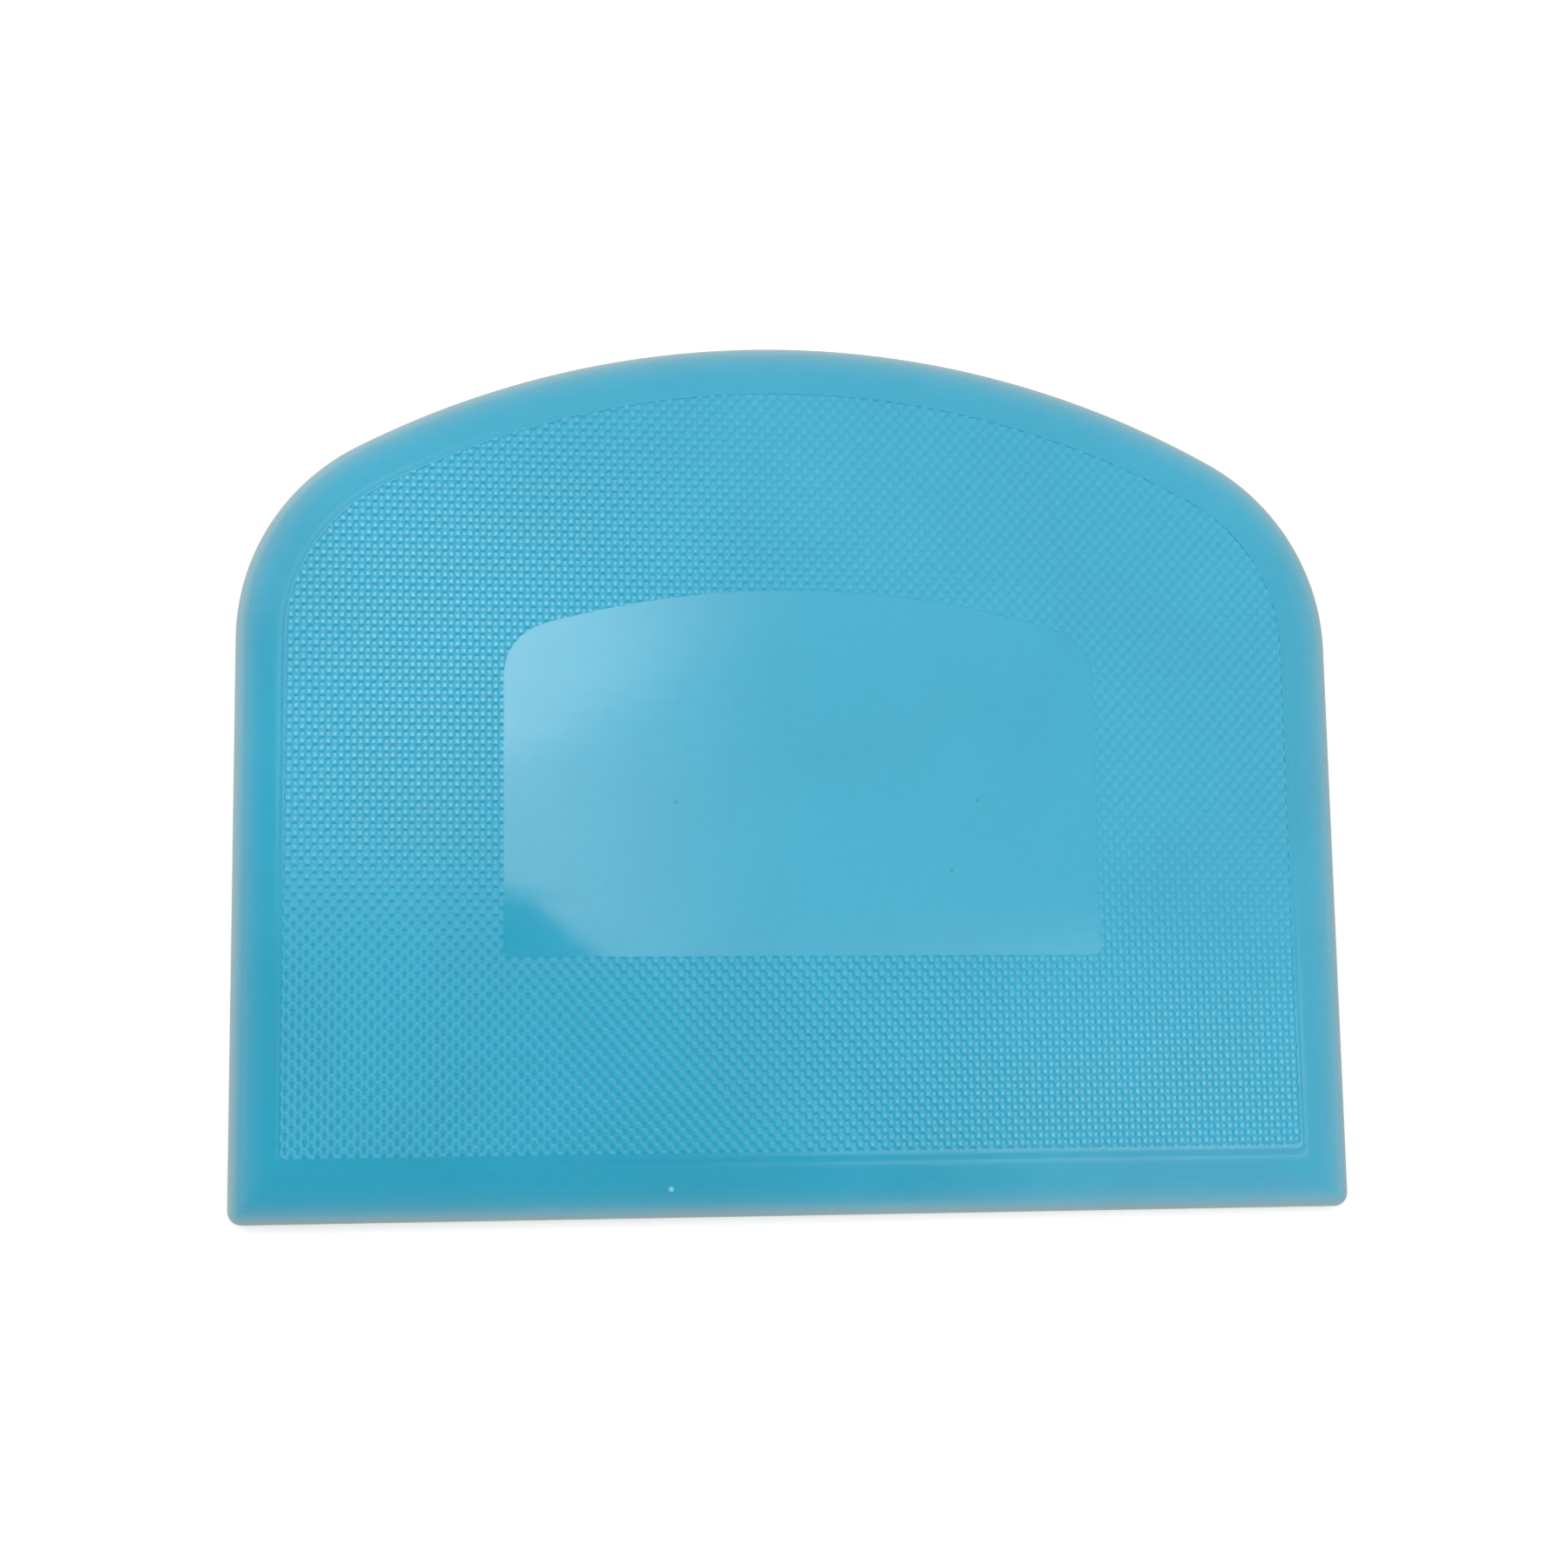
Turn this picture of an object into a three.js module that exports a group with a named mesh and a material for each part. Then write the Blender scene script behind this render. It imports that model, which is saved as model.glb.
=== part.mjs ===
// A hand-sized dough scraper: one thin plastic blade with a straight base and an arched top.
// The blade lies flat with its thickness along Z and its straight scraping edge towards -Y.
// Its three finishes are separate meshes that meet along the moulded lines between them.

import * as THREE from "three";

// Outline of the blade, in millimetres.
const BLADE_WIDTH = 120;
const BLADE_HEIGHT = 95;
const CROWN_RADIUS = 99;
const SHOULDER_RADIUS = 24;
const BASE_CORNER_RADIUS = 1.5;

// Smooth border, which thins towards a rounded lip.
const SIDE_BORDER = 4.8;
const BASE_BORDER = 5.5;
const BORDER_THICKNESS = 2.1;
const LIP_THICKNESS = 1.3;
const LIP_DEPTH = 1.2;

// Knurled grip panel, which stands proud of the border on both faces.
const KNURL_RISE = 0.05;
const PANEL_CORNER_RADIUS = 0.8;
const PANEL_CHAMFER = 0.1;

// Polished window inside the panel, a little below the knurl tops on both faces.
const WINDOW_WIDTH = 64.7;
const WINDOW_HEIGHT = 40;
const WINDOW_ABOVE_BASE = 27.5;
const WINDOW_OFF_CENTRE = 0.7;
const WINDOW_CROWN_RADIUS = 100;
const WINDOW_SHOULDER_RADIUS = 6;
const WINDOW_CORNER_RADIUS = 0.8;
const WINDOW_SINK = 0.05;

// Fineness of the arcs: segments in a corner or shoulder, in half a crown and in half a lip.
const CORNER_SEGMENTS = 4;
const SHOULDER_SEGMENTS = 14;
const HALF_CROWN_SEGMENTS = 14;
const HALF_LIP_SEGMENTS = 4;

// Half thicknesses, measured from the middle plane of the blade.
const BORDER_HALF = BORDER_THICKNESS / 2;
const LIP_HALF = LIP_THICKNESS / 2;
const PANEL_HALF = BORDER_HALF + KNURL_RISE;
const WINDOW_HALF = PANEL_HALF - WINDOW_SINK;

// A dome is an arched outline: straight base, upright sides, round shoulders and a shallow crown.
const BLADE = {
  width: BLADE_WIDTH,
  base: 0,
  top: BLADE_HEIGHT,
  crownRadius: CROWN_RADIUS,
  shoulderRadius: SHOULDER_RADIUS,
  cornerRadius: BASE_CORNER_RADIUS,
  offCentre: 0,
};

const PANEL = {
  ...inset(BLADE, SIDE_BORDER),
  base: BASE_BORDER,
  cornerRadius: PANEL_CORNER_RADIUS,
};

const WINDOW = {
  width: WINDOW_WIDTH,
  base: WINDOW_ABOVE_BASE,
  top: WINDOW_ABOVE_BASE + WINDOW_HEIGHT,
  crownRadius: WINDOW_CROWN_RADIUS,
  shoulderRadius: WINDOW_SHOULDER_RADIUS,
  cornerRadius: WINDOW_CORNER_RADIUS,
  offCentre: WINDOW_OFF_CENTRE,
};

// The same dome with every side moved inwards, or outwards for a negative distance.
function inset(dome, distance) {
  return {
    ...dome,
    width: dome.width - 2 * distance,
    base: dome.base + distance,
    top: dome.top - distance,
    crownRadius: dome.crownRadius - distance,
    shoulderRadius: dome.shoulderRadius - distance,
    cornerRadius: dome.cornerRadius - distance,
  };
}

function arcPoints(centreX, centreY, radius, startAngle, endAngle, segments) {
  const arc = new THREE.EllipseCurve(centreX, centreY, radius, radius, startAngle, endAngle);
  return arc.getPoints(segments);
}

// Points of a dome, anticlockwise from the right end of its base.
// Every dome has the same number of points, so rings of different domes can be joined.
function domePoints(dome) {
  const cornerX = dome.width / 2 - dome.cornerRadius;
  const cornerY = dome.base + dome.cornerRadius;
  const shoulderX = dome.width / 2 - dome.shoulderRadius;
  const crownY = dome.top - dome.crownRadius;
  const shoulderRise = Math.sqrt((dome.crownRadius - dome.shoulderRadius) ** 2 - shoulderX ** 2);
  const shoulderY = crownY + shoulderRise;
  const tangentAngle = Math.atan2(shoulderRise, shoulderX);

  const corner = arcPoints(cornerX, cornerY, dome.cornerRadius, -Math.PI / 2, 0, CORNER_SEGMENTS);
  const shoulder = arcPoints(shoulderX, shoulderY, dome.shoulderRadius, 0, tangentAngle, SHOULDER_SEGMENTS);
  const crown = arcPoints(0, crownY, dome.crownRadius, tangentAngle, Math.PI / 2, HALF_CROWN_SEGMENTS);

  // The shoulder ends where the crown starts, and the crown ends on the centre line.
  const right = [...corner, ...shoulder.slice(0, -1), ...crown.slice(0, -1)];
  const apex = new THREE.Vector2(0, dome.top);
  const left = right.map((point) => new THREE.Vector2(-point.x, point.y)).reverse();
  return [...right, apex, ...left].map((point) => new THREE.Vector2(point.x + dome.offCentre, point.y));
}

// One ring of a solid: a dome outline at a height above or below the middle plane.
function ring(dome, height) {
  return domePoints(dome).map((point) => new THREE.Vector3(point.x, point.y, height));
}

// Two triangles for each step along a pair of neighbouring rings.
function bandTriangles(lowerStart, upperStart, count) {
  const triangles = [];
  for (let i = 0; i < count; i += 1) {
    const next = (i + 1) % count;
    triangles.push(lowerStart + i, lowerStart + next, upperStart + next);
    triangles.push(lowerStart + i, upperStart + next, upperStart + i);
  }
  return triangles;
}

function geometryFrom(points, triangles) {
  const geometry = new THREE.BufferGeometry().setFromPoints(points);
  geometry.setIndex(triangles);
  geometry.computeVertexNormals();
  return geometry;
}

// A closed frame with a hole: its rings follow the section round and meet again at the first one.
function frameGeometry(rings) {
  const count = rings[0].length;
  const triangles = rings.flatMap((_, i) => bandTriangles(i * count, ((i + 1) % rings.length) * count, count));
  return geometryFrom(rings.flat(), triangles);
}

// A closed slab: its rings run from the back face to the front face, and both ends are filled.
function slabGeometry(rings) {
  const count = rings[0].length;
  const frontStart = (rings.length - 1) * count;
  const triangles = rings.slice(1).flatMap((_, i) => bandTriangles(i * count, (i + 1) * count, count));
  const outline = rings[0].map((point) => new THREE.Vector2(point.x, point.y));
  for (const [a, b, c] of THREE.ShapeUtils.triangulateShape(outline, [])) {
    triangles.push(a, c, b);
    triangles.push(frontStart + a, frontStart + b, frontStart + c);
  }
  return geometryFrom(rings.flat(), triangles);
}

// The lip is half an ellipse: LIP_DEPTH from its nose to the bevels, LIP_THICKNESS between them.
function lipRings() {
  const rings = [];
  for (let i = -HALF_LIP_SEGMENTS; i <= HALF_LIP_SEGMENTS; i += 1) {
    const angle = (i / HALF_LIP_SEGMENTS) * (Math.PI / 2);
    const depth = LIP_DEPTH * (1 - Math.cos(angle));
    rings.push(ring(inset(BLADE, depth), LIP_HALF * Math.sin(angle)));
  }
  return rings;
}

function scrapingRim() {
  const back = ring(PANEL, -BORDER_HALF);
  const front = ring(PANEL, BORDER_HALF);
  return frameGeometry([back, ...lipRings(), front]);
}

// The panel's edges are chamfered on both faces, along the border and around the window.
function gripPanel() {
  const outerEdge = inset(PANEL, PANEL_CHAMFER);
  const innerEdge = inset(WINDOW, -WINDOW_SINK);
  return frameGeometry([
    ring(innerEdge, -PANEL_HALF),
    ring(outerEdge, -PANEL_HALF),
    ring(PANEL, -BORDER_HALF),
    ring(PANEL, BORDER_HALF),
    ring(outerEdge, PANEL_HALF),
    ring(innerEdge, PANEL_HALF),
    ring(WINDOW, WINDOW_HALF),
    ring(WINDOW, -WINDOW_HALF),
  ]);
}

function smoothWindow() {
  return slabGeometry([ring(WINDOW, -WINDOW_HALF), ring(WINDOW, WINDOW_HALF)]);
}

const satinBorder = new THREE.MeshStandardMaterial({ color: 0x45adcb, roughness: 0.42, metalness: 0 });
const knurledGrip = new THREE.MeshStandardMaterial({ color: 0x4db4d4, roughness: 0.36, metalness: 0 });
const polishedFace = new THREE.MeshStandardMaterial({ color: 0x52afd3, roughness: 0.16, metalness: 0 });

function zone(name, geometry, material) {
  const mesh = new THREE.Mesh(geometry, material);
  mesh.name = name;
  return mesh;
}

const doughScraper = new THREE.Group();
doughScraper.name = "dough_scraper";
doughScraper.add(zone("scraping_rim", scrapingRim(), satinBorder));
doughScraper.add(zone("grip_panel", gripPanel(), knurledGrip));
doughScraper.add(zone("smooth_window", smoothWindow(), polishedFace));

// The blade rests on its back face, with the origin under the middle of its outline.
doughScraper.position.set(0, -BLADE_HEIGHT / 2, PANEL_HALF);

export default doughScraper;
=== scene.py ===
# %% [markdown]
# A dough scraper, dressed in Blender
#
# The real object is one thin blade of light-blue plastic, moulded in a single shot. It has three
# finishes: a smooth satin border that thins to a lip, a finely knurled grip panel, and a polished window
# in the middle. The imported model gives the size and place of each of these, so the lesson starts by
# loading it. The rest is worked out from those boxes and from sizes judged on the photograph, in
# millimetres.

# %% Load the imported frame
import math
from collections import namedtuple

import bmesh
import bpy
import numpy as np
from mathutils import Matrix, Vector
from mathutils.geometry import delaunay_2d_cdt


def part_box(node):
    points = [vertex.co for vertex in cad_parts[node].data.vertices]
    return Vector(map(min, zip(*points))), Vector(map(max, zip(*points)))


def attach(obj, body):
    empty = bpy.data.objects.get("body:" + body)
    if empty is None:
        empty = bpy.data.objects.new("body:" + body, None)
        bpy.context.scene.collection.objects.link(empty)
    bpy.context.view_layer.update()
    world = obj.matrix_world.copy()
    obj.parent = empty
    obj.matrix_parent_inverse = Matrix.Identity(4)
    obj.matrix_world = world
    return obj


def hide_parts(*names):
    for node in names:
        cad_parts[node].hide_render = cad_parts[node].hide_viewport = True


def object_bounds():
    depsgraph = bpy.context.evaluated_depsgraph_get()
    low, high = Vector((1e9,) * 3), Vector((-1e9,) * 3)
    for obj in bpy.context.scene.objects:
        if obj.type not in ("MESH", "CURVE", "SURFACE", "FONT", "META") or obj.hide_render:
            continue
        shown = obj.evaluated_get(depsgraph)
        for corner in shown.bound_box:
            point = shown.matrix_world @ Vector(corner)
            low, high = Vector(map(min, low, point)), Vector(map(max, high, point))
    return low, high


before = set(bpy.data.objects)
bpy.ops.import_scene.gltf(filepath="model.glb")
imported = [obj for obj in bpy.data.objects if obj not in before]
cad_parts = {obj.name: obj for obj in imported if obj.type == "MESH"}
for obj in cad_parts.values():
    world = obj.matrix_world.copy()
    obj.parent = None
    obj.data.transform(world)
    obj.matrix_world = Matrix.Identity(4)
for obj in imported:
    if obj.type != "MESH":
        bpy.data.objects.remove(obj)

MM = 0.001
cad_low, cad_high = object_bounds()
middle_level = (cad_low.z + cad_high.z) / 2 / MM


def half_thickness(node):
    low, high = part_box(node)
    return (high.z - low.z) / 2 / MM


BORDER_LEVEL = half_thickness("scraping_rim")
KNURL_LEVEL = half_thickness("grip_panel")
WINDOW_LEVEL = half_thickness("smooth_window")
levels = (BORDER_LEVEL, KNURL_LEVEL, WINDOW_LEVEL)
print("half thicknesses in mm: border %.2f, knurl %.2f, window %.2f" % levels)

# %% [markdown]
# The outline
#
# Seen from above, the blade, its panel and its window are all the same kind of figure: a straight base,
# upright sides, round shoulders and a shallow crown. It could be drawn as a Bezier curve, but arcs that
# touch each other smoothly fit the photograph well and need only three radii each. The same arcs also
# answer a second question, how deep a point lies inside the outline, which is needed later to trim the
# knurl.

# %% Dome outlines from the frame's boxes
Dome = namedtuple("Dome", "centre half_width base top crown shoulder corner")
CROWN_RADIUS = 99.0
SHOULDER_RADIUS = 24.0
BASE_CORNER_RADIUS = 1.5
PANEL_CORNER_RADIUS = 0.8
WINDOW_CROWN_RADIUS = 100.0
WINDOW_SHOULDER_RADIUS = 6.0
WINDOW_CORNER_RADIUS = 0.8


def dome_in_box(node, crown, shoulder, corner):
    low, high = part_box(node)
    centre = (low.x + high.x) / 2 / MM
    half_width = (high.x - low.x) / 2 / MM
    return Dome(centre, half_width, low.y / MM, high.y / MM, crown, shoulder, corner)


def inset(dome, distance):
    """The same dome with every side moved inwards, or outwards for a negative distance."""
    return Dome(
        dome.centre,
        dome.half_width - distance,
        dome.base + distance,
        dome.top - distance,
        dome.crown - distance,
        dome.shoulder - distance,
        dome.corner - distance,
    )


def arc_centres(dome):
    """The shoulder's centre, measured from the centre line, and the height of the crown's centre."""
    shoulder_x = dome.half_width - dome.shoulder
    crown_y = dome.top - dome.crown
    rise = math.sqrt((dome.crown - dome.shoulder) ** 2 - shoulder_x ** 2)
    return shoulder_x, crown_y + rise, crown_y


BLADE = dome_in_box("scraping_rim", CROWN_RADIUS, SHOULDER_RADIUS, BASE_CORNER_RADIUS)
panel_box = dome_in_box("grip_panel", CROWN_RADIUS, SHOULDER_RADIUS, PANEL_CORNER_RADIUS)
SIDE_BORDER = BLADE.half_width - panel_box.half_width
PANEL = panel_box._replace(crown=CROWN_RADIUS - SIDE_BORDER, shoulder=SHOULDER_RADIUS - SIDE_BORDER)
WINDOW = dome_in_box("smooth_window", WINDOW_CROWN_RADIUS, WINDOW_SHOULDER_RADIUS, WINDOW_CORNER_RADIUS)
print("blade %.1f x %.1f mm, border %.1f mm" % (2 * BLADE.half_width, BLADE.top - BLADE.base, SIDE_BORDER))

# %% Points along a dome
Steps = namedtuple("Steps", "base corner side shoulder crown")


def straight(start, end, count):
    share = np.arange(count)[:, None] / count
    return np.array(start) * (1 - share) + np.array(end) * share


def arc(centre, radius, start, end, count):
    angle = start + (end - start) * np.arange(count) / count
    return np.array(centre) + radius * np.column_stack([np.cos(angle), np.sin(angle)])


def dome_points(dome, steps):
    """Points round a dome, anticlockwise from the middle of its base, as many for every dome."""
    shoulder_x, shoulder_y, crown_y = arc_centres(dome)
    tangent = math.atan2(shoulder_y - crown_y, shoulder_x)
    corner_x = dome.half_width - dome.corner
    corner_y = dome.base + dome.corner
    right = np.vstack([
        straight((0, dome.base), (corner_x, dome.base), steps.base),
        arc((corner_x, corner_y), dome.corner, -math.pi / 2, 0, steps.corner),
        straight((dome.half_width, corner_y), (dome.half_width, shoulder_y), steps.side),
        arc((shoulder_x, shoulder_y), dome.shoulder, 0, tangent, steps.shoulder),
        arc((0, crown_y), dome.crown, tangent, math.pi / 2, steps.crown),
    ])
    left = right[:0:-1] * (-1, 1)
    return np.vstack([right, [(0, dome.top)], left]) + (dome.centre, 0)


OUTLINE_STEPS = Steps(base=110, corner=8, side=90, shoulder=50, crown=70)
print("points on each outline: %d" % len(dome_points(BLADE, OUTLINE_STEPS)))

# %% Depth inside a dome
TEST_DEPTH = 3.0


def measure(dome, x, y):
    """How deep points lie inside a dome, and the outward direction of the edge nearest to each."""
    shoulder_x, shoulder_y, crown_y = arc_centres(dome)
    corner_x = dome.half_width - dome.corner
    corner_y = dome.base + dome.corner
    side = np.where(x < dome.centre, -1.0, 1.0)
    across = np.abs(x - dome.centre)

    crown_reach = np.hypot(across, y - crown_y)
    shoulder_reach = np.hypot(across - shoulder_x, y - shoulder_y)
    corner_reach = np.hypot(across - corner_x, y - corner_y)
    on_crown = across * (shoulder_y - crown_y) < (y - crown_y) * shoulder_x
    on_shoulder = y > shoulder_y
    on_corner = (across > corner_x) & (y < corner_y)

    arch_depth = np.where(on_shoulder, dome.shoulder - shoulder_reach, dome.half_width - across)
    arch_depth = np.where(on_crown, dome.crown - crown_reach, arch_depth)
    on_base = y - dome.base < arch_depth
    cases = [on_corner, on_base, on_crown, on_shoulder]
    depth = np.select(cases, [dome.corner - corner_reach, y - dome.base, arch_depth, arch_depth], arch_depth)

    corner_out = ((across - corner_x) / corner_reach, (y - corner_y) / corner_reach)
    crown_out = (across / crown_reach, (y - crown_y) / crown_reach)
    shoulder_out = ((across - shoulder_x) / shoulder_reach, (y - shoulder_y) / shoulder_reach)
    outward_x = np.select(cases, [corner_out[0], 0.0, crown_out[0], shoulder_out[0]], 1.0)
    outward_y = np.select(cases, [corner_out[1], -1.0, crown_out[1], shoulder_out[1]], 0.0)
    return depth, outward_x * side, outward_y


apex_depth = measure(BLADE, np.array(0.0), np.array(BLADE.top - TEST_DEPTH))[0]
print("a point %.1f mm below the top of the arch lies %.2f mm deep" % (TEST_DEPTH, apex_depth))

# %% [markdown]
# The border
#
# The border is bevelled: it thins from the panel outwards and ends in a rounded lip that slides along the
# bowl. The photograph doesn't show the back, which is taken to be like the front. A bevel modifier on a
# plate would round every edge alike, so the border is lofted instead. Rings of the outline, each at its
# own depth and height, follow the section round from the back face, over the lip, to the front face. A
# little fullness keeps the bevels from looking machined, and each point remembers its depth from the lip,
# because the plastic looks paler where it is thin. At its inner edge the border runs level for a moment,
# and a fine step rises to a smooth ledge, where the knurl begins. The ledge is wider along the base than
# elsewhere, and its step catches the light as a thin line.

# %% Section of the border
LIP_LEVEL = 0.65
LIP_DEPTH = 1.2
BEVEL_FULLNESS = 0.035
LEVEL_BAND = 0.3
SIDE_LEDGE = 0.55
BASE_LEDGE = 1.2
STEP_SHARE = 0.75
KNURL_CORNER_RADIUS = 0.5
BEVEL_RINGS = 10
HALF_LIP_RINGS = 9
STEP_RINGS = 8
KNURLED = inset(PANEL, SIDE_LEDGE)._replace(base=PANEL.base + BASE_LEDGE, corner=KNURL_CORNER_RADIUS)


def bevel_rings(outer_points, inner_points):
    """Rings of the front bevel, from the lip to the level band, as pairs of points and level."""
    rings = []
    for share in np.linspace(0, 1, BEVEL_RINGS + 1)[1:]:
        fullness = BEVEL_FULLNESS * 4 * share * (1 - share)
        level = LIP_LEVEL + (BORDER_LEVEL - LIP_LEVEL) * share + fullness
        rings.append((outer_points * (1 - share) + inner_points * share, level))
    return rings


def ledge_rings():
    """Rings of the step at the panel's edge and of the ledge between it and the knurl."""
    outer_points = dome_points(PANEL, OUTLINE_STEPS)
    inner_points = dome_points(KNURLED, OUTLINE_STEPS)
    rings = []
    for share in np.linspace(0, 1, STEP_RINGS + 1):
        rise = share * share * (3 - 2 * share)
        level = BORDER_LEVEL + (KNURL_LEVEL - BORDER_LEVEL) * rise
        inward = STEP_SHARE * share
        rings.append((outer_points * (1 - inward) + inner_points * inward, level))
    return rings + [(inner_points, KNURL_LEVEL)]


def front_section():
    """Rings from the nose of the lip to the edge of the knurl."""
    rings = []
    for i in range(HALF_LIP_RINGS + 1):
        angle = math.pi / 2 * i / HALF_LIP_RINGS
        depth = LIP_DEPTH * (1 - math.cos(angle))
        rings.append((dome_points(inset(BLADE, depth), OUTLINE_STEPS), LIP_LEVEL * math.sin(angle)))
    band = dome_points(inset(PANEL, -LEVEL_BAND), OUTLINE_STEPS)
    return rings + bevel_rings(rings[-1][0], band) + ledge_rings()


front_rings = front_section()
section = [(points, -level) for points, level in front_rings[:0:-1]] + front_rings
print("the border's section has %d rings" % len(section))

# %% Loft the border
CREASE_DEGREES = 40


def place_mesh(name, points, faces):
    """A mesh object from points in millimetres about the middle of the blade's thickness."""
    mesh = bpy.data.meshes.new(name)
    mesh.from_pydata([Vector((x, y, z + middle_level)) * MM for x, y, z in points], [], faces)
    piece = bpy.data.objects.new(name, mesh)
    bpy.context.scene.collection.objects.link(piece)
    return piece


def remember(piece, name, values):
    """Stores one number for each point of a mesh, for its material to read."""
    attribute = piece.data.attributes.new(name, "FLOAT", "POINT")
    attribute.data.foreach_set("value", np.asarray(values, dtype=np.float32))


def smooth_shade(piece, crease_degrees):
    piece.data.shade_smooth()
    piece.data.set_sharp_from_angle(angle=math.radians(crease_degrees))


def loft(rings):
    """Points and quads of a closed frame whose last ring joins the first."""
    count = len(rings[0][0])
    points = np.vstack([np.column_stack([ring, np.full(count, level)]) for ring, level in rings])
    faces = []
    for r in range(len(rings)):
        here = r * count
        there = (r + 1) % len(rings) * count
        for i in range(count):
            j = (i + 1) % count
            faces.append((here + i, here + j, there + j, there + i))
    return points, faces


rim_points, rim_faces = loft(section)
rim = place_mesh("moulded_border", rim_points, rim_faces)
remember(rim, "edge_depth", measure(BLADE, rim_points[:, 0], rim_points[:, 1])[0])
smooth_shade(rim, CREASE_DEGREES)
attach(rim, "root")
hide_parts("scraping_rim")
print("border: %d faces" % len(rim.data.polygons))

# %% [markdown]
# The knurl
#
# The grip panel carries a fine knurl, a chequerboard of small flat tops and small flat hollows with
# slopes between them. It is taken to be shallow, under a tenth of a millimetre, but a bump texture would
# still vanish at a grazing view, so the relief is real geometry. A displaced square grid would smear the
# edges of the flats and need far more points. This net has its lines exactly where the flats begin and
# end. Each gap between four flats is a little saddle, which gets one more point in its middle. The tops
# stand above the border and the hollows sink a little below it.

# %% The knurl's net
KNURL_PITCH_X = 1.355
KNURL_PITCH_Y = 1.515
KNURL_DEPTH = 0.085
FLAT_SHARE = 0.52


def flat_lines(low, high, pitch):
    """Places where the flats begin and end along one direction, and the number of the flat at each."""
    numbers = np.arange(math.floor(2 * low / pitch), math.ceil(2 * high / pitch) + 1)
    half_flat = FLAT_SHARE * pitch / 4
    return np.add.outer(numbers * pitch / 2, (-half_flat, half_flat)).ravel(), np.repeat(numbers, 2)


def knurl_net(dome):
    """Points of a net that covers a dome, its four-cornered faces, and the triangles of its saddles."""
    lines_x, column = flat_lines(-dome.half_width, dome.half_width, KNURL_PITCH_X)
    lines_y, row = flat_lines(dome.base, dome.top, KNURL_PITCH_Y)
    x, y = np.meshgrid(lines_x, lines_y, indexing="ij")
    is_top = np.add.outer(column, row) % 2 == 0
    z = np.where(is_top, KNURL_LEVEL, KNURL_LEVEL - KNURL_DEPTH)
    points = np.column_stack([x.ravel(), y.ravel(), z.ravel()])

    number = np.arange(x.size).reshape(x.shape)
    corners = np.stack([number[:-1, :-1], number[1:, :-1], number[1:, 1:], number[:-1, 1:]], axis=-1)
    is_saddle = np.zeros(corners.shape[:2], dtype=bool)
    is_saddle[1::2, 1::2] = True
    saddles = corners[is_saddle]
    middles = points[saddles].mean(axis=1)
    middle_number = len(points) + np.arange(len(saddles))
    triangles = [np.column_stack([saddles[:, i], saddles[:, (i + 1) % 4], middle_number]) for i in range(4)]
    return np.vstack([points, middles]), corners[~is_saddle], np.vstack(triangles)


net_points, net_quads, net_triangles = knurl_net(KNURLED)
slope = math.degrees(math.atan2(KNURL_DEPTH, (1 - FLAT_SHARE) * KNURL_PITCH_X / 2))
print("net before trimming: %d points, slopes of %.0f degrees" % (len(net_points), slope))

# %% Trim the net to the ledge and the window
SNAP = 0.05


def room(x, y):
    """How far points lie inside the knurled area: below zero is outside it."""
    return np.minimum(measure(KNURLED, x, y)[0], -measure(WINDOW, x, y)[0])


def trimmed_skin(points, faces):
    """The net inside the knurled area. A point very near the edge counts as on it."""
    rooms = room(points[:, 0], points[:, 1])
    rooms[np.abs(rooms) < SNAP] = 0
    skin = bmesh.new()
    made = {}

    def corner(index):
        if index not in made:
            made[index] = skin.verts.new(points[index])
        return made[index]

    def crossing(first, second):
        pair = (min(first, second), max(first, second))
        if pair not in made:
            share = rooms[pair[0]] / (rooms[pair[0]] - rooms[pair[1]])
            made[pair] = skin.verts.new(points[pair[0]] * (1 - share) + points[pair[1]] * share)
        return made[pair]

    for face in faces:
        if max(rooms[face]) <= 0:
            continue
        kept = []
        for here, there in zip(face, face[1:] + face[:1]):
            if rooms[here] >= 0:
                kept.append(corner(here))
            if rooms[here] * rooms[there] < 0:
                kept.append(crossing(here, there))
        if len(kept) > 2:
            skin.faces.new(kept)
    return skin


skin = trimmed_skin(net_points, net_quads.tolist() + net_triangles.tolist())
open_edges = [edge for edge in skin.edges if edge.is_boundary]
print("skin: %d faces, %d open edges" % (len(skin.faces), len(open_edges)))

# %% [markdown]
# The panel's edges
#
# At the ledge and around the window the knurl simply stops, and its cut tops leave a fine jagged edge. So
# the outermost points slide sideways onto the outline and keep their height. Both edges then drop
# straight to the middle of the thickness, where the half is closed. The back is taken to be like the
# front, so its half is the mirror image. Two halves also keep each mesh light enough for other programs.

# %% Finish the open edges


def slide(verts, dome):
    """Moves points sideways onto the outline of a dome."""
    for vert in verts:
        x, y, z = vert.co
        depth, outward_x, outward_y = measure(dome, np.array(x), np.array(y))
        vert.co = (x + float(depth * outward_x), y + float(depth * outward_y), z)


def around_window(edge):
    middle = (edge.verts[0].co + edge.verts[1].co) / 2
    return measure(inset(WINDOW, -KNURL_PITCH_Y), np.array(middle.x), np.array(middle.y))[0] > 0


inner_edges = [edge for edge in open_edges if around_window(edge)]
outer_edges = [edge for edge in open_edges if not around_window(edge)]
slide({vert for edge in outer_edges for vert in edge.verts}, KNURLED)
slide({vert for edge in inner_edges for vert in edge.verts}, WINDOW)
print("edges along the ledge %d, round the window %d" % (len(outer_edges), len(inner_edges)))

# %% Close the front half and mirror it
FACET_DEGREES = 4


def points_and_faces(mesh):
    mesh.verts.index_update()
    points = np.array([vert.co for vert in mesh.verts])
    faces = [[vert.index for vert in face.verts] for face in mesh.faces]
    mesh.free()
    return points, faces


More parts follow.
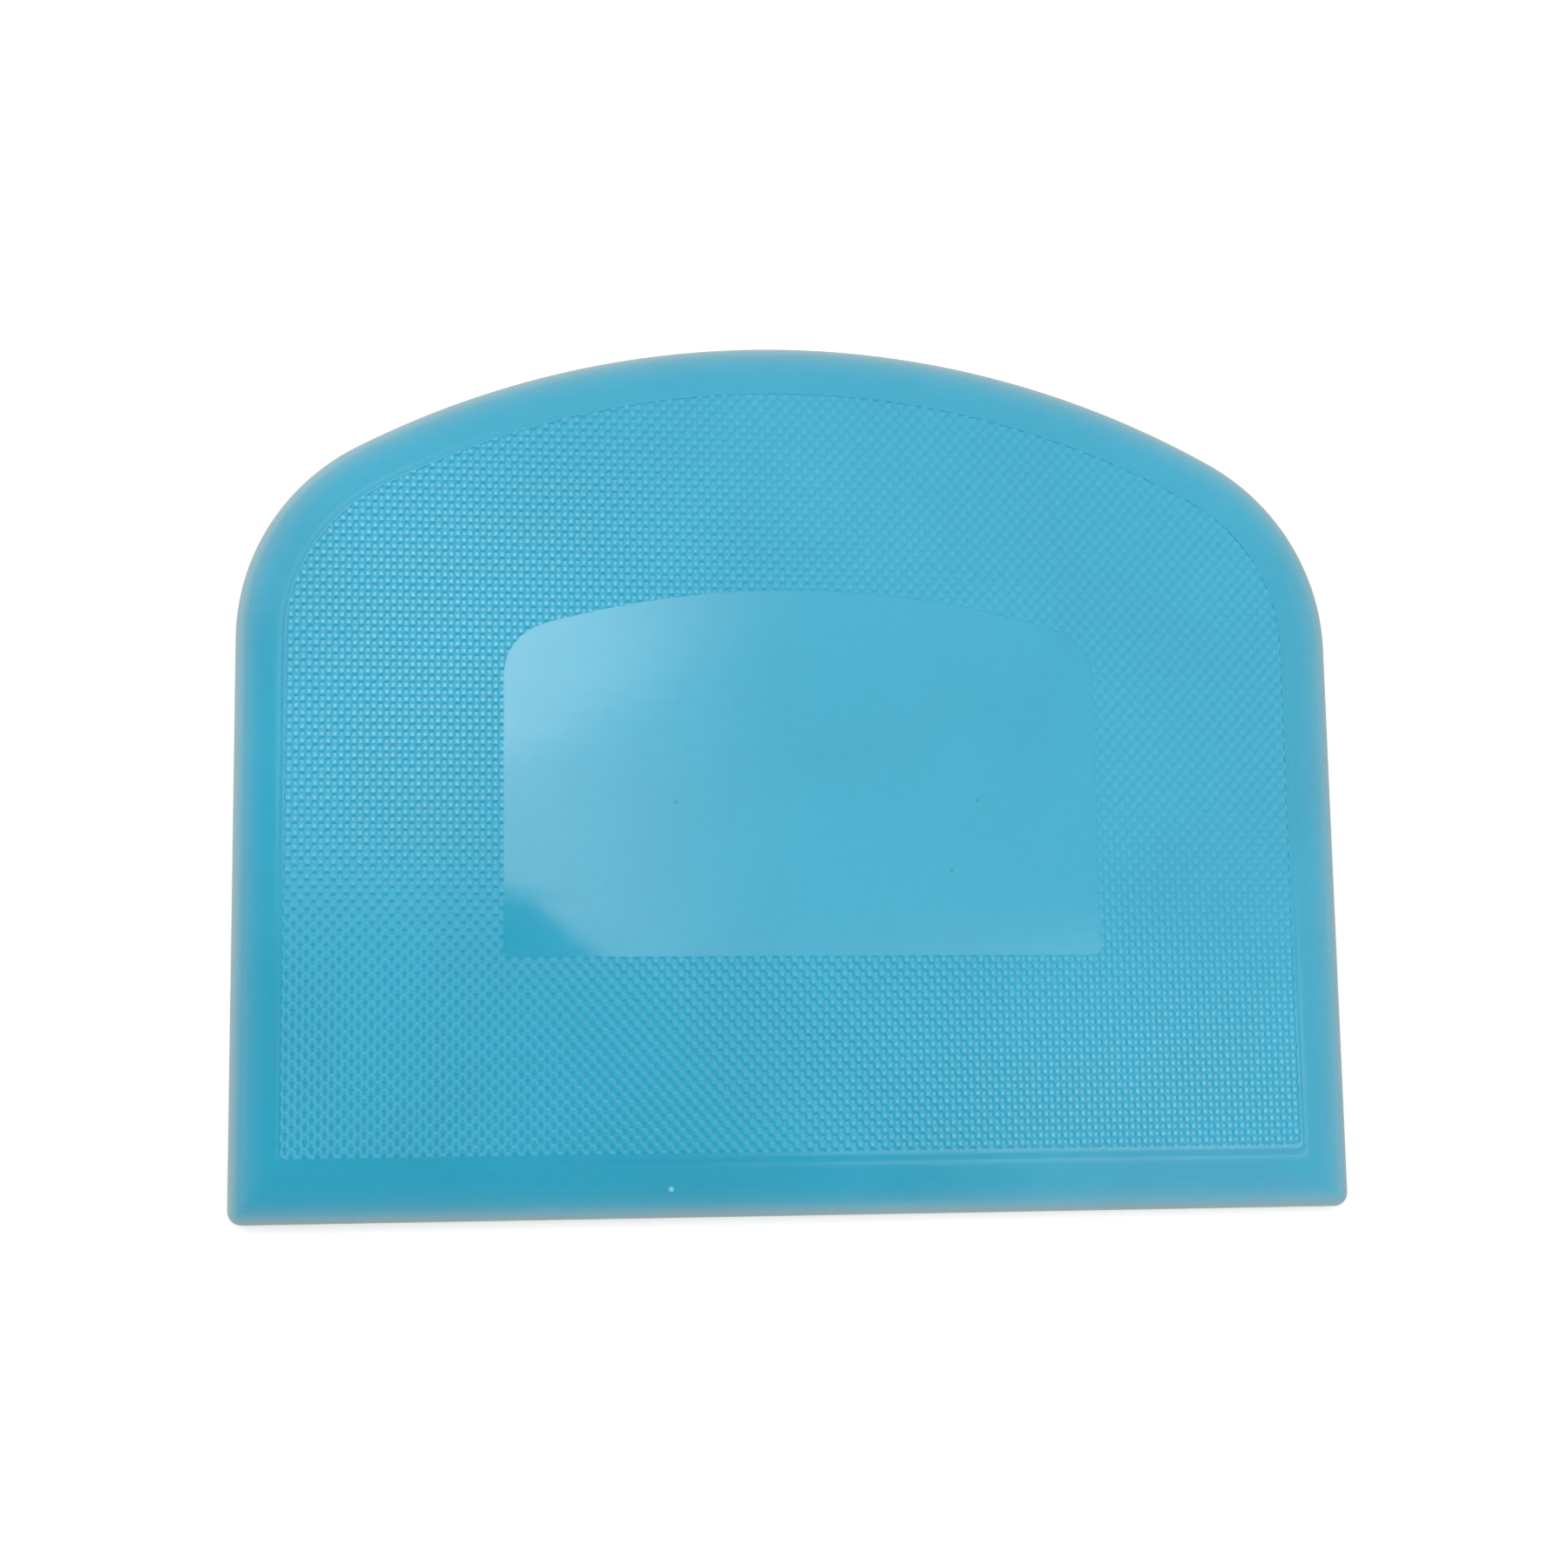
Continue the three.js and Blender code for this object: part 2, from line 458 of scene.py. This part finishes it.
extruded = bmesh.ops.extrude_edge_only(skin, edges=open_edges)["geom"]
for item in extruded:
    if isinstance(item, bmesh.types.BMVert):
        item.co.z = 0
middle_edges = [item for item in extruded if isinstance(item, bmesh.types.BMEdge) and item.is_boundary]
bmesh.ops.triangle_fill(skin, edges=middle_edges, use_beauty=True)
bmesh.ops.recalc_face_normals(skin, faces=skin.faces[:])
half_points, half_faces = points_and_faces(skin)
height = (half_points[:, 2] - KNURL_LEVEL) / KNURL_DEPTH + 1

panel_halves = []
for name, side in (("knurled_front", 1), ("knurled_back", -1)):
    half = place_mesh(name, half_points * (1, 1, side), [face[::side] for face in half_faces])
    remember(half, "knurl_height", np.clip(height, 0, 1))
    smooth_shade(half, FACET_DEGREES)
    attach(half, "root")
    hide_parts("grip_panel")
    panel_halves.append(half)
    print("%s: %d triangles" % (name, sum(len(face) - 2 for face in half_faces)))

# %% [markdown]
# The window
#
# The smooth field in the middle is polished. A flat plate would give a mirror that is too perfect: thin
# plastic sinks a few hundredths of a millimetre as it cools, and that bends the reflections softly. So
# the face is a fine net of triangles inside the outline, dished by that small amount.

# %% Fill the window's face
WINDOW_STEPS = Steps(base=40, corner=5, side=26, shoulder=12, crown=34)
NET_SPACING = 1.0
SINK_DEPTH = 0.03
KEEP_INSIDE = 1
MERGE_DISTANCE = 1e-6


def dish(x, y):
    """How far the face has sunk at a point, nothing at the edge."""
    across = (x - WINDOW.centre) / WINDOW.half_width
    along = (2 * y - WINDOW.top - WINDOW.base) / (WINDOW.top - WINDOW.base)
    return SINK_DEPTH * max(0.0, 1 - across ** 2) * max(0.0, 1 - along ** 2)


def net_inside(dome):
    """A grid of points that keeps clear of the outline."""
    xs = np.arange(dome.centre - dome.half_width, dome.centre + dome.half_width, NET_SPACING)
    ys = np.arange(dome.base, dome.top, NET_SPACING)
    grid_x, grid_y = (values.ravel() for values in np.meshgrid(xs, ys))
    inside = measure(dome, grid_x, grid_y)[0] > NET_SPACING / 2
    return np.column_stack([grid_x[inside], grid_y[inside]])


edge_points = dome_points(WINDOW, WINDOW_STEPS)
face_net = [Vector(point) for point in np.vstack([edge_points, net_inside(WINDOW)])]
edge_loop = [(i, (i + 1) % len(edge_points)) for i in range(len(edge_points))]
filled = delaunay_2d_cdt(face_net, edge_loop, [], KEEP_INSIDE, MERGE_DISTANCE)
face_points, face_triangles = filled[0], filled[2]
print("the window's face has %d points and %d triangles" % (len(face_points), len(face_triangles)))

# %% Close the window's slab


def window_slab():
    """Front and back faces and the wall between them."""
    slab = bmesh.new()
    front = [slab.verts.new((x, y, WINDOW_LEVEL - dish(x, y))) for x, y in face_points]
    for triangle in face_triangles:
        slab.faces.new([front[i] for i in triangle])
    rim_edges = [edge for edge in slab.edges if edge.is_boundary]
    copy = bmesh.ops.duplicate(slab, geom=slab.verts[:] + slab.edges[:] + slab.faces[:])
    for item in copy["geom"]:
        if isinstance(item, bmesh.types.BMVert):
            item.co.z = -item.co.z
    twins = copy["vert_map"]
    for edge in rim_edges:
        first, second = edge.verts
        slab.faces.new((first, second, twins[second], twins[first]))
    bmesh.ops.recalc_face_normals(slab, faces=slab.faces[:])
    return points_and_faces(slab)


window = place_mesh("polished_window_face", *window_slab())
smooth_shade(window, CREASE_DEGREES)
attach(window, "root")
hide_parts("smooth_window")
print("window: %d faces" % len(window.data.polygons))

# %% [markdown]
# The plastic
#
# All three finishes are the same dyed plastic, so they share one colour. As painted light, each makes it a
# touch lighter to match the photograph, and otherwise only the surface differs. Even a clean moulding
# isn't one flat colour: pigment gathers in faint clouds and the melt leaves a finer mottle. Two noise
# textures in the object's own space give both, and they stay put when the camera moves.

# %% Dyed plastic
PLASTIC = (0.036, 0.400, 0.590)
PLASTIC_IOR = 1.49
NOISE_ENDS = (0.3, 0.7)
CLOUD_SCALE = 45.0
CLOUD_SHADES = (0.965, 1.03)
MOTTLE_SCALE = 900.0
MOTTLE_SHADES = (0.985, 1.015)


def add_node(tree, kind, inputs=None, **settings):
    """Adds a node, sets its options, and links or sets its inputs."""
    node = tree.nodes.new(kind)
    for setting, value in settings.items():
        setattr(node, setting, value)
    for socket, value in (inputs or {}).items():
        if isinstance(value, bpy.types.NodeSocket):
            tree.links.new(value, node.inputs[socket])
        else:
            node.inputs[socket].default_value = value
    return node


def spread(tree, value, low, high, to_low, to_high):
    """Maps a range of values to another one, smoothly."""
    inputs = {"Value": value, "From Min": low, "From Max": high, "To Min": to_low, "To Max": to_high}
    return add_node(tree, "ShaderNodeMapRange", inputs, interpolation_type="SMOOTHSTEP").outputs["Result"]


def noise(tree, place, scale, detail=2.0):
    inputs = {"Vector": place, "Scale": scale, "Detail": detail}
    return add_node(tree, "ShaderNodeTexNoise", inputs).outputs["Fac"]


def shaded(tree, colour, amount):
    """A colour made darker or lighter by a factor around 1."""
    inputs = {0: colour, "Scale": amount}
    return add_node(tree, "ShaderNodeVectorMath", inputs, operation="SCALE").outputs["Vector"]


def dyed(tree, place, painted_light_factor):
    """The plastic's colour with its clouds and finer mottle, lightened or darkened by painted light."""
    darkest, lightest = CLOUD_SHADES
    clouds = spread(tree, noise(tree, place, CLOUD_SCALE), *NOISE_ENDS, darkest * painted_light_factor, lightest * painted_light_factor)
    mottle = spread(tree, noise(tree, place, MOTTLE_SCALE), *NOISE_ENDS, *MOTTLE_SHADES)
    return shaded(tree, shaded(tree, PLASTIC, clouds), mottle)


def plastic_material(name):
    """A new material: its tree, its shader and the object's own coordinates."""
    material = bpy.data.materials.new(name)
    material.use_nodes = True
    tree = material.node_tree
    shader = tree.nodes["Principled BSDF"]
    shader.inputs["IOR"].default_value = PLASTIC_IOR
    place = add_node(tree, "ShaderNodeTexCoord").outputs["Object"]
    return material, tree, shader, place


print("plastic colour, linear: %.3f %.3f %.3f" % PLASTIC)

# %% [markdown]
# The satin border
#
# The border is a touch rougher than the window, so it has a soft sheen and a very fine grain, and its lip
# is rougher still, as if worn. Towards the lip the plastic is thin, and light from the white table comes
# through it, so it looks paler and greyer: that light is painted into the colour. Subsurface scattering
# could do that, but it is slow and darkens the line between two separate meshes. Light dies away in
# plastic by the same share for each millimetre, so the blend is a power of the depth from the lip. One
# small pale spot on the lower border is painted as the photograph shows it.

# %% Tools for the border's material
RELIEF_DEPTH = 0.02


def blended(tree, factor, first, second):
    """A colour between two others. Sockets 6 and 7 of the mix node take its colours."""
    inputs = {0: factor, 6: first, 7: second}
    return add_node(tree, "ShaderNodeMix", inputs, data_type="RGBA").outputs[2]


def between(tree, factor, first, second):
    """A number between two others."""
    inputs = {"Factor": factor, "A": first, "B": second}
    return add_node(tree, "ShaderNodeMix", inputs).outputs[0]


def product(tree, first, second):
    return add_node(tree, "ShaderNodeMath", {0: first, 1: second}, operation="MULTIPLY").outputs[0]


def distance_from(tree, place, x, y):
    """Distance from an upright line through the blade."""
    pressed = {0: place, 1: (1, 1, 0)}
    flat = add_node(tree, "ShaderNodeVectorMath", pressed, operation="MULTIPLY").outputs["Vector"]
    spot = {0: flat, 1: (x * MM, y * MM, 0)}
    return add_node(tree, "ShaderNodeVectorMath", spot, operation="DISTANCE").outputs["Value"]


def add_relief(tree, shader, height, strength):
    """Gives a shader a very fine relief."""
    relief = {"Height": height, "Strength": strength, "Distance": RELIEF_DEPTH * MM}
    tree.links.new(add_node(tree, "ShaderNodeBump", relief).outputs["Normal"], shader.inputs["Normal"])


print("fine relief of %.2f mm" % RELIEF_DEPTH)

# %% Border material
# Painted light: the border's copy of the plastic is made a touch lighter by its factor.
BORDER_PAINTED_LIGHT = 1.005
PAINTED_LIP_LIGHT_COLOUR = (0.48, 0.48, 0.41, 1)
LIP_SHARE = 0.75
SHARE_PER_MM = 0.33
SHEEN_SCALE = 135.0
SHEEN_ROUGHNESS = (0.16, 0.21)
LIP_ROUGHNESS = 0.5
WORN_ENDS = (0.3, 1.6)
GRAIN_SCALE = 2600.0
GRAIN_STRENGTH = 0.06
PALE_SPOT = (-14.1, -44.5)
PALE_SPOT_COLOUR = (0.30, 0.68, 0.86, 1)
PALE_SPOT_CORE = 0.1
PALE_SPOT_RADIUS = 0.4


def border_material():
    material, tree, shader, place = plastic_material("satin_border")
    depth = add_node(tree, "ShaderNodeAttribute", attribute_name="edge_depth").outputs["Fac"]
    light_left = add_node(tree, "ShaderNodeMath", {0: SHARE_PER_MM, 1: depth}, operation="POWER").outputs[0]
    painted_lip_light = product(tree, light_left, LIP_SHARE)
    # Painted light: towards the lip the colour blends into a pale grey, for light through the thin plastic.
    colour = blended(tree, painted_lip_light, dyed(tree, place, BORDER_PAINTED_LIGHT), PAINTED_LIP_LIGHT_COLOUR)
    # A small pale spot painted into the lower border's colour.
    near_pale_spot = spread(tree, distance_from(tree, place, *PALE_SPOT), PALE_SPOT_CORE * MM, PALE_SPOT_RADIUS * MM, 1.0, 0.0)
    tree.links.new(blended(tree, near_pale_spot, colour, PALE_SPOT_COLOUR), shader.inputs["Base Color"])
    sheen = spread(tree, noise(tree, place, SHEEN_SCALE), *NOISE_ENDS, *SHEEN_ROUGHNESS)
    wear = spread(tree, depth, *WORN_ENDS, 1.0, 0.0)
    tree.links.new(between(tree, wear, sheen, LIP_ROUGHNESS), shader.inputs["Roughness"])
    add_relief(tree, shader, noise(tree, place, GRAIN_SCALE), GRAIN_STRENGTH)
    return material


rim.data.materials.append(border_material())
print("border material: %d nodes" % len(rim.data.materials[0].node_tree.nodes))

# %% [markdown]
# The knurled grip
#
# The knurl is glossy, though a little less so than the window. What makes it sparkle is its shape: each
# top and each hollow is a tiny mirror that faces straight up, and the slopes between them look elsewhere.
# So the material stays simple. As painted shade and light, the hollows are a touch darker and the tops a
# touch lighter, and the tops are a touch smoother, because hands polish them.

# %% Knurl material
# Painted light: the knurl's copy of the plastic is made lighter by its factor.
KNURL_PAINTED_LIGHT = 1.065
# Painted light and shade: the hollows are darker and the tops lighter.
PAINTED_SHADE_BY_HEIGHT = (0.955, 1.045)
HEIGHT_ROUGHNESS = (0.17, 0.15)


def knurl_material():
    material, tree, shader, place = plastic_material("knurled_grip")
    height = add_node(tree, "ShaderNodeAttribute", attribute_name="knurl_height").outputs["Fac"]
    # Painted shade in the hollows and painted light on the tops, from their height.
    painted_light_factor = spread(tree, height, 0.0, 1.0, *PAINTED_SHADE_BY_HEIGHT)
    tree.links.new(shaded(tree, dyed(tree, place, KNURL_PAINTED_LIGHT), painted_light_factor), shader.inputs["Base Color"])
    tree.links.new(spread(tree, height, 0.0, 1.0, *HEIGHT_ROUGHNESS), shader.inputs["Roughness"])
    return material


grip_finish = knurl_material()
for half in panel_halves:
    half.data.materials.append(grip_finish)
print("knurl material: %d nodes" % len(grip_finish.node_tree.nodes))

# %% [markdown]
# The polished window
#
# The window mirrors the room softly. Wiping has left faint streaks on it, all along one slanting
# direction, and there are three small specks in the surface. The streaks are noise stretched along that
# direction. It changes how rough the polish is and adds a very faint ripple, and each speck is a dark
# spot round a point of the face.

# %% Window material
# Painted light: the window's copy of the plastic is made lighter by its factor.
WINDOW_PAINTED_LIGHT = 1.045
POLISH_ROUGHNESS = (0.06, 0.10)
STREAK_ANGLE = math.radians(52)
STREAK_STRETCH = (60.0, 900.0, 60.0)
STREAK_DETAIL = 3.0
STREAK_ENDS = (0.35, 0.75)
RIPPLE_STRENGTH = 0.08
SPECKS = [(-13.3, -3.4), (19.7, -3.1), (16.7, -10.8)]
SPECK_CORE = 0.1
SPECK_RADIUS = 0.25
SPECK_SHADE = 0.72


def streaks(tree, place):
    """Noise drawn out along the direction of wiping."""
    turn = {"Vector": place, "Rotation": (0, 0, -STREAK_ANGLE), "Scale": STREAK_STRETCH}
    along = add_node(tree, "ShaderNodeMapping", turn).outputs["Vector"]
    return noise(tree, along, scale=1.0, detail=STREAK_DETAIL)


def speck(tree, place, colour, x, y):
    distance = distance_from(tree, place, x, y)
    return shaded(tree, colour, spread(tree, distance, SPECK_CORE * MM, SPECK_RADIUS * MM, SPECK_SHADE, 1.0))


def window_material():
    material, tree, shader, place = plastic_material("polished_window")
    colour = dyed(tree, place, WINDOW_PAINTED_LIGHT)
    for x, y in SPECKS:
        colour = speck(tree, place, colour, x, y)
    tree.links.new(colour, shader.inputs["Base Color"])
    wiped = streaks(tree, place)
    tree.links.new(spread(tree, wiped, *STREAK_ENDS, *POLISH_ROUGHNESS), shader.inputs["Roughness"])
    add_relief(tree, shader, wiped, RIPPLE_STRENGTH)
    return material


window.data.materials.append(window_material())
print("window material: %d nodes" % len(window.data.materials[0].node_tree.nodes))

# %% [markdown]
# The table and the studio
#
# The scraper lies on a plain white table. A white table still takes a shadow, so its own colour is a
# light grey-white, and a little glow, seen only by the camera and in reflections, lifts it to the white
# of the background. Lamps of Blender's own would do for the rest, but cards with a material can fade as
# they go. Most of the light comes evenly from all round. A soft box above and behind the blade makes the
# pale gleam in the window, a strip at the right gives the lower panel its gloss, and a key light stands
# at the upper left. The box and the strip are see-through sheets that add their light to what is behind
# them. A dark card near the camera makes the deeper corner of the window and the deeper lower border.

# %% White table
TABLE_SIZE = 4.0
TABLE_COLOUR = (0.80, 0.80, 0.80, 1)
TABLE_GLOW = 0.45


def seen_directly(tree):
    """One for rays from the camera, from a reflection or through something clear, and zero for the rest."""
    path = add_node(tree, "ShaderNodeLightPath")
    seen = path.outputs["Is Camera Ray"]
    for kind in ("Is Glossy Ray", "Is Transmission Ray"):
        either = {0: seen, 1: path.outputs[kind]}
        seen = add_node(tree, "ShaderNodeMath", either, operation="MAXIMUM").outputs[0]
    return seen


def oblong(left, right, near, far):
    return [(left, near), (right, near), (right, far), (left, far)]


def stage_card(name, corners, material):
    """A flat stage piece from its corners in metres."""
    mesh = bpy.data.meshes.new(name)
    mesh.from_pydata(corners, [], [range(len(corners))])
    card = bpy.data.objects.new(name, mesh)
    bpy.context.scene.collection.objects.link(card)
    card.data.materials.append(material)
    return card


def bare_material(name):
    """A new material with no shader yet, and its tree."""
    material = bpy.data.materials.new(name)
    material.use_nodes = True
    tree = material.node_tree
    tree.nodes.remove(tree.nodes["Principled BSDF"])
    return material, tree


def set_surface(tree, shader):
    tree.links.new(shader, tree.nodes["Material Output"].inputs["Surface"])


def table_material():
    material, tree = bare_material("white_table")
    matt = add_node(tree, "ShaderNodeBsdfDiffuse", {"Color": TABLE_COLOUR}).outputs[0]
    strength = product(tree, seen_directly(tree), TABLE_GLOW)
    glow = add_node(tree, "ShaderNodeEmission", {"Strength": strength}).outputs[0]
    set_surface(tree, add_node(tree, "ShaderNodeAddShader", {0: matt, 1: glow}).outputs[0])
    return material


table_reach = TABLE_SIZE / 2
table_outline = oblong(-table_reach, table_reach, -table_reach, table_reach)
stage_card("white_table", [(x, y, cad_low.z) for x, y in table_outline], table_material())
print("table at height %.4f m" % cad_low.z)

# %% Even light from all round
AMBIENT = 0.86


def light_the_room():
    world = bpy.data.worlds.new("white_room")
    bpy.context.scene.world = world
    world.use_nodes = True
    tree = world.node_tree
    lift = product(tree, seen_directly(tree), 1 - AMBIENT)
    level = add_node(tree, "ShaderNodeMath", {0: lift, 1: AMBIENT}, operation="ADD").outputs[0]
    background = tree.nodes["Background"]
    background.inputs["Color"].default_value = (1, 1, 1, 1)
    tree.links.new(level, background.inputs["Strength"])


light_the_room()
print("even light at %.2f of white" % AMBIENT)

# %% Soft box
# Edges run left, right, near and far, and ends are the two places that a fade runs between, in millimetres.
BOX_HEIGHT = 1.5
BOX_EDGES = (-180, 430, 40, 445)
BOX_CORE = 5.2
BOX_APRON = 2.62
BOX_HAZE = 0.28
APRON_ENDS = (214, 232)
APRON_TILT = 0.5
CORE_ENDS = (-30, 235)
HAZE_ENDS = (300, 430)
NEAR_ENDS = (40, 100)
LEFT_ENDS = (-180, -120)


def overhead(name, corners, height, material):
    """A card above the blade, given by its corners in millimetres, that the camera looks past."""
    card = stage_card(name, [(x * MM, y * MM, height) for x, y in corners], material)
    card.visible_camera = False
    print("%s: %.2f m above the table, %d corners" % (name, height, len(corners)))


def light_sheet(name):
    """A see-through material that adds light to what is behind it, with its tree, emission, X and Y."""
    material, tree = bare_material(name)
    clear = add_node(tree, "ShaderNodeBsdfTransparent").outputs[0]
    glow = add_node(tree, "ShaderNodeEmission")
    set_surface(tree, add_node(tree, "ShaderNodeAddShader", {0: clear, 1: glow.outputs[0]}).outputs[0])
    place = add_node(tree, "ShaderNodeTexCoord").outputs["Object"]
    across, along, _ = add_node(tree, "ShaderNodeSeparateXYZ", {0: place}).outputs
    return material, tree, glow, across, along


def fade(tree, value, ends, low=0.0, high=1.0):
    """Runs from low to high between two places given in millimetres."""
    return spread(tree, value, ends[0] * MM, ends[1] * MM, low, high)


def box_material():
    """Brightest at the far left, dimmer on the near apron, and only a haze at the right."""
    material, tree, glow, across, along = light_sheet("soft_box")
    tilted = {0: across, 1: -APRON_TILT, 2: along}
    tilted = add_node(tree, "ShaderNodeMath", tilted, operation="MULTIPLY_ADD").outputs[0]
    left_part = fade(tree, tilted, APRON_ENDS, BOX_APRON, BOX_CORE)
    strength = between(tree, fade(tree, across, CORE_ENDS), left_part, BOX_HAZE)
    strength = product(tree, strength, fade(tree, across, HAZE_ENDS, 1.0, 0.0))
    strength = product(tree, strength, fade(tree, along, NEAR_ENDS))
    strength = product(tree, strength, fade(tree, across, LEFT_ENDS))
    tree.links.new(strength, glow.inputs["Strength"])
    return material


overhead("soft_box", oblong(*BOX_EDGES), BOX_HEIGHT, box_material())

# %% Strip light
STRIP_HEIGHT = 1.49
STRIP_EDGES = (80, 640, -80, 140)
STRIP_STRENGTH = 4.3
STRIP_ACROSS = (80, 450)
STRIP_ALONG = (0, 140)


def strip_material():
    """A soft edge at the left and at the far side."""
    material, tree, glow, across, along = light_sheet("strip")
    left = fade(tree, across, STRIP_ACROSS, 0.0, STRIP_STRENGTH)
    tree.links.new(product(tree, left, fade(tree, along, STRIP_ALONG, 1.0, 0.0)), glow.inputs["Strength"])
    return material


overhead("strip", oblong(*STRIP_EDGES), STRIP_HEIGHT, strip_material())

# %% Key light
KEY_CORNERS = [(-0.62, 0.20, 0.35), (-0.20, 0.62, 0.35), (-0.20, 0.62, 0.65), (-0.62, 0.20, 0.65)]
KEY_STRENGTH = 4.5


def glowing(name, strength):
    """A material that only gives light. With no strength it is black."""
    material, tree = bare_material(name)
    set_surface(tree, add_node(tree, "ShaderNodeEmission", {"Strength": strength}).outputs[0])
    return material


key = stage_card("key", KEY_CORNERS, glowing("key", KEY_STRENGTH))
key.visible_camera = False
print("key light %.1f" % KEY_STRENGTH)

# %% Dark card
CARD_HEIGHT = 0.28
CARD_CORNERS = [
    (-170, 96), (-114, 70), (-92, 20), (-25, 16.4), (-19.5, 15), (-14, 10.4),
    (-8.3, 5), (-2.3, 1.3), (19, -19), (80, -83), (95, -240), (-170, -240),
]
overhead("dark_card", CARD_CORNERS, CARD_HEIGHT, glowing("dark_card", 0.0))

# %% [markdown]
# The camera
#
# The photograph was taken from nearly straight above, a little to the left of the blade and towards its
# straight edge. The camera's place and turn were worked out from the way the outline leans in the
# picture.

# %% Camera
CAMERA_PLACE = (-38.9, -41.05, 279.35)
CAMERA_TURN = (8.181, -7.560, -0.852)
LENS = 60
SENSOR_WIDTH = 36
camera_data = bpy.data.cameras.new("camera")
camera_data.lens = LENS
camera_data.sensor_width = SENSOR_WIDTH
camera = bpy.data.objects.new("camera", camera_data)
camera.location = Vector(CAMERA_PLACE) * MM
camera.rotation_euler = [math.radians(angle) for angle in CAMERA_TURN]
bpy.context.scene.collection.objects.link(camera)
bpy.context.scene.camera = camera
bpy.context.scene.view_settings.view_transform = "Standard"
print("camera %.3f m above the table" % camera.location.z)
